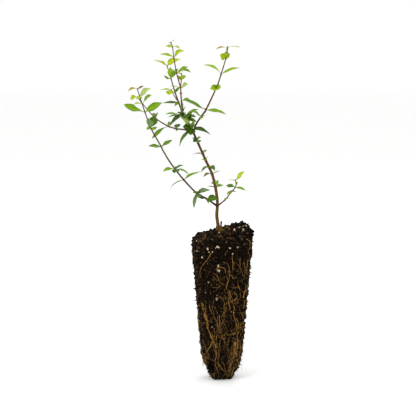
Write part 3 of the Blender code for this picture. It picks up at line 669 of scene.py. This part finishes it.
def makePeat():
    peat = copyOfNode("root_plug", "peatBlock")
    applyStep(peat, "REMESH", mode="VOXEL", voxel_size=plugForm["voxel"] * mm, use_smooth_shade=True)
    for i, (grain, strength) in enumerate(plugForm["lumps"]):
        texture = bpy.data.textures.new(f"lumps{i}", "CLOUDS")
        texture.noise_scale = grain * mm
        texture.noise_depth = 2
        applyStep(peat, "DISPLACE", texture=texture, strength=strength * mm, mid_level=0.6)
    for vert in peat.data.vertices:
        x, _, z = vert.co / mm
        # the corner worn away at the top on the left, and the one that stands high on the right
        worn = min(1, max(0, (z - 137) / 8)) * min(1, max(0, (-x - 23) / 7))
        high = min(1, max(0, (z - 126) / 16)) * min(1, max(0, (x - 17) / 10))
        vert.co.x -= plugForm["wornCorner"][0] * worn * mm
        vert.co.z += (plugForm["wornCorner"][1] * worn + plugForm["highCorner"] * high) * mm
        if z < plugForm["foot"]:
            vert.co.z = max(0.0, vert.co.z * 0.3)
    peat.data.materials.append(speckled(
        "darkPeat", ((0.32, (0.0008, 0.0005, 0.0003)), (0.52, (0.005, 0.003, 0.0016)), (0.72, (0.032, 0.019, 0.01))),
        1.6, 1.0, 0.5, 0.04, 10))
    peat.data.shade_smooth()
    return settle(peat, "peat", "root_plug")


peat = makePeat()
graph = bpy.context.evaluated_depsgraph_get()
peatTree = BVHTree.FromObject(peat, graph)
print("peat ready")


def onSide(turn, height, sink=0.0):
    # the plug's skin at this turn about its axis and this height
    way = Vector((math.cos(turn), math.sin(turn), 0))
    hit, normal, _, _ = peatTree.ray_cast((way * 60 + Vector((0, 0, height))) * mm, -way)
    if hit is None:
        return None, way
    return hit / mm + normal * sink, normal


def onPixel(px, py, sink=0.0):
    hit, normal, _, _ = peatTree.ray_cast(cameraPlace * mm, pixelRay(px, py))
    if hit is None:
        return None, Vector((0, -1, 0))
    return hit / mm + normal * sink, normal


def onTop(x, y, sink=0.0):
    hit, normal, _, _ = peatTree.ray_cast(Vector((x, y, 200)) * mm, Vector((0, 0, -1)))
    return (hit / mm + normal * sink, normal) if hit else (None, Vector((0, 0, 1)))


def pixelPlace(px, py, depth):
    # the point under a pixel of the photograph at this distance behind the plug's axis
    way = pixelRay(px, py)
    return cameraPlace + way * ((depth - cameraPlace.y) / way.y)


def grainShape(level):
    work = bmesh.new()
    bmesh.ops.create_icosphere(work, subdivisions=level, radius=1)
    points = [v.co.copy() for v in work.verts]
    faces = [tuple(v.index for v in f.verts) for f in work.faces]
    work.free()
    return points, faces


def addGrain(heap, shape, centre, size, rough, look=0):
    points, faces = shape
    seed = Vector((dice.uniform(0, 90), dice.uniform(0, 90), dice.uniform(0, 90)))
    stretch = Vector((dice.uniform(0.7, 1.3), dice.uniform(0.7, 1.3), dice.uniform(0.65, 1.15)))
    placed = []
    for p in points:
        bump = 1 + rough * noise.noise(p * 1.3 + seed)
        placed.append(centre + Vector((p.x * stretch.x, p.y * stretch.y, p.z * stretch.z)) * size * bump)
    low = min(p.z for p in placed)
    if low < 0.02:
        placed = [p + Vector((0, 0, 0.02 - low)) for p in placed]
    heap.add(placed, faces, look)


crumbForm = {"side": 4300, "top": 900, "size": (0.35, 1.35), "out": (-0.35, 0.45), "loose": 90}


def makeCrumbs():
    heap, shape = Heap(), grainShape(1)
    for _ in range(crumbForm["side"]):
        place, _ = onSide(dice.uniform(0, 2 * math.pi), dice.uniform(1.2, 148), dice.uniform(*crumbForm["out"]))
        if place:
            size = crumbForm["size"][0] + (crumbForm["size"][1] - crumbForm["size"][0]) * dice.random() ** 2.2
            addGrain(heap, shape, place, size, 0.9, dice.choice((0, 0, 0, 0, 1, 1, 2)))
    for _ in range(crumbForm["top"]):
        place, _ = onTop(dice.uniform(-30, 33), dice.uniform(-30, 31), dice.uniform(0, 0.5))
        if place:
            addGrain(heap, shape, place, 0.5 + 1.4 * dice.random() ** 2, 0.9, dice.choice((0, 0, 0, 1, 1, 2)))
    for _ in range(crumbForm["loose"]):
        # black crumbs that cling to the root tips at the foot, low on the left
        place, _ = onPixel(dice.gauss(211, 2.4), dice.uniform(362, 376.5), dice.uniform(0.2, 1.6))
        if place:
            addGrain(heap, shape, place, dice.uniform(0.6, 1.3), 0.9, 0)
    looks = [tinted("blackCrumb", (0.003, 0.002, 0.0013), 0.6, 0.8, 0.95, 0.2, 0.04),
             tinted("brownCrumb", (0.018, 0.01, 0.005), 0.6, 0.8, 0.95, 0.2, 0.06),
             tinted("rustCrumb", (0.06, 0.033, 0.014), 0.5, 0.8, 0.95, 0.2, 0.08)]
    settle(heap.piece("peatCrumbs", looks, smooth=False), "peat")


# Perlite grains, as pixel of the photograph and radius in millimetres
perliteShown = ((234.4, 230.6, 1.7), (237, 227.7, 1.1), (245.8, 226, 1.3), (230.3, 233.9, 0.9),
                (243.9, 231, 0.8), (240, 236.3, 0.8), (211.9, 240, 1.2), (217.6, 247.5, 1.9),
                (229.7, 248.2, 1.3), (237.9, 247, 1.0), (207.7, 249, 1.1), (197.2, 251, 0.8),
                (232.6, 254, 1.0), (202.3, 257.4, 1.1), (207.7, 263.8, 0.9), (218.6, 266, 1.1),
                (218.9, 270.5, 1.3), (208.6, 282.5, 0.7), (216.5, 299, 1.5), (216.8, 295.3, 0.9),
                (207.4, 316.5, 0.7), (212, 327, 1.0), (223.8, 339, 0.9), (198.8, 240.2, 1.3),
                (209, 252.3, 0.8), (203, 233.5, 0.7), (220.5, 236, 1.0), (218.5, 233.5, 0.8),
                (226, 242.5, 0.8), (197, 241, 0.9), (205.5, 292.5, 0.6), (212.5, 252, 0.6))
perliteForm = {"side": 34, "top": 24, "size": (0.5, 1.5), "sink": -0.25}


def makePerlite():
    heap, shape = Heap(), grainShape(3)
    for px, py, size in perliteShown:
        place, _ = onPixel(px, py, perliteForm["sink"])
        if place:
            addGrain(heap, shape, place, size, 0.6, dice.choice((0, 0, 1)))
    for _ in range(perliteForm["side"]):
        turn = dice.uniform(0.06, math.pi - 0.06)
        place, _ = onSide(turn, 146 - 135 * dice.random() ** 1.5, perliteForm["sink"])
        if place:
            addGrain(heap, shape, place, dice.uniform(*perliteForm["size"]) * 0.8, 0.6, dice.choice((0, 1, 1)))
    for _ in range(perliteForm["top"]):
        place, _ = onTop(dice.uniform(-25, 28), dice.uniform(-10, 26), perliteForm["sink"])
        if place:
            addGrain(heap, shape, place, dice.uniform(*perliteForm["size"]), 0.6, dice.choice((0, 1, 1)))
    looks = [tinted("whitePerlite", (0.5, 0.4, 0.28), 0.35, 0.8, 0.9, 0.3, 0.2),
             tinted("dullPerlite", (0.26, 0.19, 0.115), 0.4, 0.8, 0.9, 0.3, 0.2)]
    settle(heap.piece("perliteGrains", looks), "peat")


# Roots that show at the front, each as a radius and pixels of the photograph
rootsShown = (
    (0.4, (206, 237), (202, 239.5), (198.5, 244)), (0.25, (211, 253), (207, 260), (203, 265), (200.5, 271), (199, 277)),
    (0.22, (217, 268), (221, 267.5), (224.5, 268.5), (226.5, 276), (226, 283), (219.5, 287), (213, 292)),
    (0.22, (217, 268), (217, 274), (218.4, 281)), (0.22, (223, 262), (228, 265), (227.8, 275), (227, 285), (224.5, 290), (225.5, 294)),
    (0.3, (232, 256), (232.6, 262), (232.6, 269), (230.4, 273), (233, 278), (236, 277)),
    (0.26, (240, 258), (240, 264), (241, 270), (244.4, 278), (247.6, 281)),
    (0.3, (246, 239), (249.5, 241), (249.5, 246), (247.6, 251), (249, 257), (247, 263), (247, 271)),
    (0.22, (216, 298), (221, 297.5), (223.5, 301), (224, 308), (222.5, 315), (220.5, 318)),
    (0.22, (219, 296.5), (225, 298), (226, 305), (224.5, 313), (222, 320)),
    (0.34, (229, 290), (230, 296), (228.5, 303), (230, 308)), (0.34, (231.7, 301), (234, 308), (233.6, 314), (236, 323), (236.8, 331)),
    (0.3, (245, 290), (243.2, 297), (244, 303), (243, 309), (243.8, 314)),
    (0.42, (202, 304), (206, 318), (209.3, 332), (214.4, 343), (216.7, 352.5), (215, 361), (217, 370), (219.2, 377)),
    (0.36, (199, 305), (198.5, 317), (200, 331), (201.7, 347), (203.5, 357)),
    (0.3, (199.5, 306), (202, 303.5), (205, 309), (207, 318), (208.5, 330), (212, 340)),
    (0.28, (212, 332), (213.5, 345), (215, 352)), (0.28, (205, 352), (210, 347), (213, 342)),
    (0.32, (201, 345), (204, 355), (208, 363), (212, 372)), (0.32, (203, 340), (207, 350), (211, 362), (214, 374)),
    (0.24, (217, 312), (217.5, 325), (216.5, 337), (216, 345)), (0.24, (219.5, 315), (219.5, 325), (219, 336)),
    (0.36, (238, 340), (237, 350), (236, 360), (232.5, 371), (231, 376)), (0.36, (235, 342), (234.5, 352), (232, 362), (229, 374)),
    (0.32, (240, 345), (239, 354), (235.5, 364), (233, 372)), (0.32, (236, 338), (233.5, 345), (232, 354), (229.5, 364), (226, 375)),
    (0.22, (224, 341), (227.5, 345), (229, 351)), (0.28, (223, 362), (225, 369), (226.5, 376)),
    (0.22, (221.5, 323), (226, 321), (229, 324), (226, 328)), (0.28, (236, 318), (238.5, 326), (237.5, 334)),
    (0.24, (238, 285), (240, 293), (239, 300)), (0.24, (234, 292), (237, 296), (234, 301), (231, 297), (234, 292)),
    (0.2, (213, 276), (217, 281)), (0.2, (214, 300), (212.5, 307), (214.5, 315)), (0.22, (243, 322), (240, 326), (243.5, 331)),
    (0.24, (229, 268), (229.5, 277), (226.5, 288), (229, 296), (228, 304)), (0.22, (236, 262), (239.5, 266), (237, 271), (234, 268)),
    (0.26, (243.5, 262), (245, 268), (244.5, 276), (241, 283)), (0.24, (247, 285), (246.5, 296), (247, 306), (245.5, 316)),
    (0.3, (216.5, 336), (215.5, 347), (216.5, 358)), (0.22, (219, 272), (222, 283), (218, 285)), (0.22, (231, 312), (229, 305), (232, 297)),
)
# Root tips and hairs that hang free of the plug, as radius, distance behind the axis and pixels
freeRoots = (
    (0.13, 2, (243, 323.5), (246.3, 322.5), (250, 322.8), (252, 320.6), (251.8, 318), (250.2, 316.8)),
    (0.15, 0, (241.6, 346), (243.2, 351), (242.4, 361), (241.5, 371)), (0.12, 4, (242, 350), (244, 356), (243, 364)),
    (0.14, 0, (200, 352), (200.2, 358), (201.8, 366)), (0.14, 6, (238, 362), (239, 368), (236.5, 374)),
    (0.12, 3, (197, 322), (194.8, 323), (194.2, 326)), (0.12, -4, (203.5, 358), (203, 365), (205, 371)),
)
rootForm = {"low": 120, "high": 60, "loops": 95, "fringe": 17, "step": 1.6, "radius": (0.09, 0.24), "hairs": 1500,
            "bristles": 1300, "sides": 5}


def addRoot(heap, places, radius, look):
    line = smoothLine(places, 3)
    count = len(line)
    radii = [radius * (1 - 0.5 * i / count) * (1 + 0.2 * math.sin(i * 0.9)) for i in range(count)]
    floorClear = [Vector((p.x, p.y, max(p.z, r + 0.02))) for p, r in zip(line, radii)]
    addTube(heap, floorClear, radii, rootForm["sides"], look)


def layRoot(heap, pixels, radius, look):
    # a root that follows pixels of the photograph over the plug's skin
    places = [onPixel(px, py)[0] for px, py in pixels]
    places = [p for p in places if p]
    if len(places) > 1:
        snapped = []
        for p in smoothLine(places, 3):
            hit, normal, _, _ = peatTree.find_nearest(p * mm)
            snapped.append(hit / mm + normal * (radius * 0.5 + 0.35))
        addRoot(heap, snapped, radius, look)


def creepingRoot(turn, height, long, heading, bend, wander):
    # heading 0 goes straight down the skin, and bend is the steady turn at each step
    places = []
    for _ in range(max(3, int(long / rootForm["step"]))):
        place, normal = onSide(turn, height)
        if place is None or height < 0.8:
            break
        places.append(place + normal * 0.35)
        heading += bend + dice.uniform(-wander, wander) - (0 if bend else heading * 0.15)
        turn += math.sin(heading) * rootForm["step"] / max(8.0, math.hypot(place.x, place.y))
        height -= math.cos(heading) * rootForm["step"]
    return places


def makeRoots():
    heap = Heap()
    for radius, *pixels in rootsShown:
        layRoot(heap, pixels, radius, dice.choice((0, 0, 1)))
    for _ in range(rootForm["fringe"]):
        # the bundle of fine roots that runs into the foot on the right
        foot, lean, top = dice.uniform(226, 235.5), dice.uniform(1.5, 6), dice.uniform(336, 364)
        pixels = ((foot + lean, top), (foot + lean * 0.75, (top + 376) / 2), (foot, 376.3))
        layRoot(heap, pixels, dice.uniform(0.1, 0.22), dice.choice((0, 0, 1, 2)))
    for low, count in ((True, rootForm["low"]), (False, rootForm["high"])):
        for _ in range(count):
            height = dice.uniform(12, 75) if low else dice.uniform(60, 142)
            places = creepingRoot(dice.uniform(0, 2 * math.pi), height, dice.uniform(12, 55), dice.uniform(-0.7, 0.7), 0, 0.45)
            if len(places) > 2:
                addRoot(heap, places, dice.uniform(*rootForm["radius"]), dice.choice((0, 1, 1, 2)))
    for _ in range(rootForm["loops"]):
        # fine roots that curl, thickest over the right half of the front
        turn = dice.gauss(5.6, 0.5) if dice.random() < 0.6 else dice.uniform(0, 2 * math.pi)
        bend = dice.choice((-1, 1)) * dice.uniform(0.08, 0.34)
        places = creepingRoot(turn, dice.uniform(25, 128), dice.uniform(7, 22), dice.uniform(-2, 2), bend, 0.2)
        if len(places) > 2:
            addRoot(heap, places, dice.uniform(0.08, 0.17), dice.choice((0, 0, 1, 2)))
    for radius, depth, *pixels in freeRoots:
        addRoot(heap, [pixelPlace(px, py, depth) for px, py in pixels], radius, 1)
    looks = [tinted("ochreRoot", (0.36, 0.185, 0.036), 0.5, 1.2, 0.75, 0.1, 0.15),
             tinted("tanRoot", (0.2, 0.11, 0.034), 0.5, 1.2, 0.75, 0.1, 0.15),
             tinted("darkRoot", (0.045, 0.025, 0.01), 0.45, 1.2, 0.8, 0.1, 0.1)]
    settle(heap.piece("plugRoots", looks), "peat")


def makeHairs():
    # fine hairs and fibres that stand off the plug, and the loose root tips that hang from it
    heap = Heap()
    for _ in range(rootForm["hairs"]):
        place, normal = onSide(dice.uniform(0, 2 * math.pi), dice.uniform(3, 149))
        if place is None:
            continue
        way = (normal + Vector((dice.uniform(-1, 1), dice.uniform(-1, 1), dice.uniform(-1.2, 0.6)))).normalized()
        long = 1.0 + 2.8 * dice.random() ** 1.4
        bend = Vector((dice.uniform(-1, 1), dice.uniform(-1, 1), -0.8)) * long * 0.35
        line = [place + way * long * t + bend * t * t for t in (0, 0.35, 0.7, 1)]
        line = [Vector((p.x, p.y, max(0.2, p.z))) for p in line]
        thick = 0.8 + 2.2 * dice.random() ** 1.6
        addTube(heap, line, [0.12 * thick, 0.11 * thick, 0.08 * thick, 0.04], 4, dice.choice((0, 1, 1, 2, 2)))
    for _ in range(rootForm["bristles"]):
        # stiff scraps of root and peat that make the outline ragged
        place, normal = onSide(dice.uniform(0, 2 * math.pi), dice.uniform(2, 150))
        if place is None:
            continue
        way = (normal + Vector((dice.uniform(-1, 1), dice.uniform(-1, 1), dice.uniform(-1, 1))) * 0.7).normalized()
        long = 1.1 + 2.4 * dice.random() ** 1.6
        thick = dice.uniform(0.3, 0.7)
        line = [place - normal * 0.4, place + way * long * 0.5, place + way * long]
        line = [Vector((p.x, p.y, max(0.4, p.z))) for p in line]
        addTube(heap, line, [thick, thick * 0.8, 0.1], 5, dice.choice((1, 2, 2, 2)))
    for _ in range(14):
        place, normal = onSide(dice.uniform(0, 2 * math.pi), dice.uniform(14, 40))
        if place is None:
            continue
        out = Vector((normal.x, normal.y, 0)).normalized()
        drop = dice.uniform(5, 13)
        line = [place - out * 0.5, place + out * 1.0 - Vector((0, 0, 1.5)), place + out * 1.3 - Vector((0, 0, drop * 0.5)),
                place + out * 0.6 - Vector((0, 0, drop))]
        line = [Vector((p.x, p.y, max(0.3, p.z))) for p in smoothLine(line, 4)]
        addTube(heap, line, [0.17 - 0.007 * i for i in range(len(line))], 5, dice.choice((0, 1)))
    looks = [tinted("hairTan", (0.2, 0.12, 0.045), 0.3, 1, 0.8, 0.05, 0.1),
             tinted("hairBrown", (0.07, 0.037, 0.015), 0.3, 1, 0.8, 0.05, 0.08),
             tinted("hairBlack", (0.008, 0.005, 0.003), 0.3, 1, 0.9, 0.05, 0.05)]
    settle(heap.piece("rootHairs", looks), "peat")


# Small green and brown growth on the plug: over its top as pixel across and distance behind the axis,
# and on its sides as turn and height
mossForm = {"top": ((221.2, 2), (222.4, 4), (223.4, 1), (225.2, 6), (220.8, 6), (226.2, 12), (232.8, 26)),
            "side": ((-0.12, 105.5), (-0.06, 103.5), (-0.1, 102), (3.22, 58.5), (3.2, 56.5)),
            "fibres": 80, "blades": 12}


def makeMoss():
    heap = Heap()
    spots = [onTop(pixelPlace(px, 226, depth).x, depth) for px, depth in mossForm["top"]]
    spots += [onSide(turn, height) for turn, height in mossForm["side"]]
    for place, normal in spots:
        if place is None:
            continue
        for _ in range(mossForm["blades"]):
            way = (normal + Vector((dice.uniform(-1, 1), dice.uniform(-1, 1), dice.uniform(0, 1.4)))).normalized()
            foot = place + Vector((dice.uniform(-0.9, 0.9), dice.uniform(-0.9, 0.9), dice.uniform(0, 0.5)))
            line = [foot - way * 0.3, foot + way * 0.6, foot + way * dice.uniform(1, 1.9)]
            addTube(heap, line, [0.2, 0.3, 0.05], 5)
    for px, depth, tall in ((228.2, 2, 6.4), (229.1, 0, 4.2), (224.6, 4, 3.2)):
        place, _ = onTop(pixelPlace(px, 226, depth).x, depth)
        if place:
            line = smoothLine([place - Vector((0, 0, 1)), place + Vector((0.3, 0, tall * 0.5)), place + Vector((-0.2, 0, tall))], 4)
            addTube(heap, line, [0.45, 0.44, 0.42, 0.4, 0.4, 0.46, 0.52, 0.46, 0.12], 7, 1)
    for _ in range(mossForm["fibres"]):
        place, _ = onTop(-24 + 30 * dice.random() ** 1.3, dice.uniform(-24, 6))
        if place:
            way = Vector((dice.uniform(-1, 1), dice.uniform(-1, 1), dice.uniform(0.2, 1.1))).normalized()
            long = dice.uniform(2, 5)
            line = smoothLine([place - way, place + way * long * 0.5, place + way * long - Vector((0, 0, long * 0.25))], 3)
            addTube(heap, line, [0.16 - 0.015 * i for i in range(len(line))], 5, dice.choice((1, 2)))
    looks = [tinted("mossGreen", (0.17, 0.29, 0.008), 0.5, 0.7, 0.8, 0.05, 0.1),
             tinted("redFibre", (0.15, 0.06, 0.032), 0.35, 0.7, 0.8, 0.05, 0.1),
             tinted("brownFibre", (0.06, 0.032, 0.014), 0.35, 0.7, 0.8, 0.05, 0.1)]
    settle(heap.piece("mossAndFibres", looks), "peat")


makeCrumbs()
makePerlite()
makeRoots()
makeHairs()
makeMoss()
print("plug ready")

# Floor and light
studio = {"floorSize": 60, "floorColour": (0.985, 0.985, 0.98), "world": 1.0,
          "lamps": (((-0.9, -1.0, 1.3), 0.9, 10), ((1.1, -0.8, 0.9), 0.9, 3), ((0.2, 1.1, 1.2), 0.8, 4))}


def makeStudio():
    bpy.ops.mesh.primitive_plane_add(size=studio["floorSize"])
    floor = bpy.context.object
    floor.name = "paleFloor"
    floor.data.materials.append(tinted("paleFloorPaint", studio["floorColour"], 0.01, 40, 0.9, 0.01, 0.2))
    for place, size, power in studio["lamps"]:
        aim = (Vector((-0.01, 0, 0.18)) - Vector(place)).to_track_quat("-Z", "Y").to_euler()
        bpy.ops.object.light_add(type="AREA", location=place, rotation=aim)
        lamp = bpy.context.object.data
        lamp.size = size
        lamp.energy = power
    bpy.context.scene.view_settings.view_transform = "Standard"  # keeps the greens as strong as they are
    world = bpy.data.worlds.new("softRoom")
    world.use_nodes = True
    world.node_tree.nodes["Background"].inputs["Color"].default_value = (1, 1, 1, 1)
    world.node_tree.nodes["Background"].inputs["Strength"].default_value = studio["world"]
    bpy.context.scene.world = world


makeStudio()
print("studio ready")
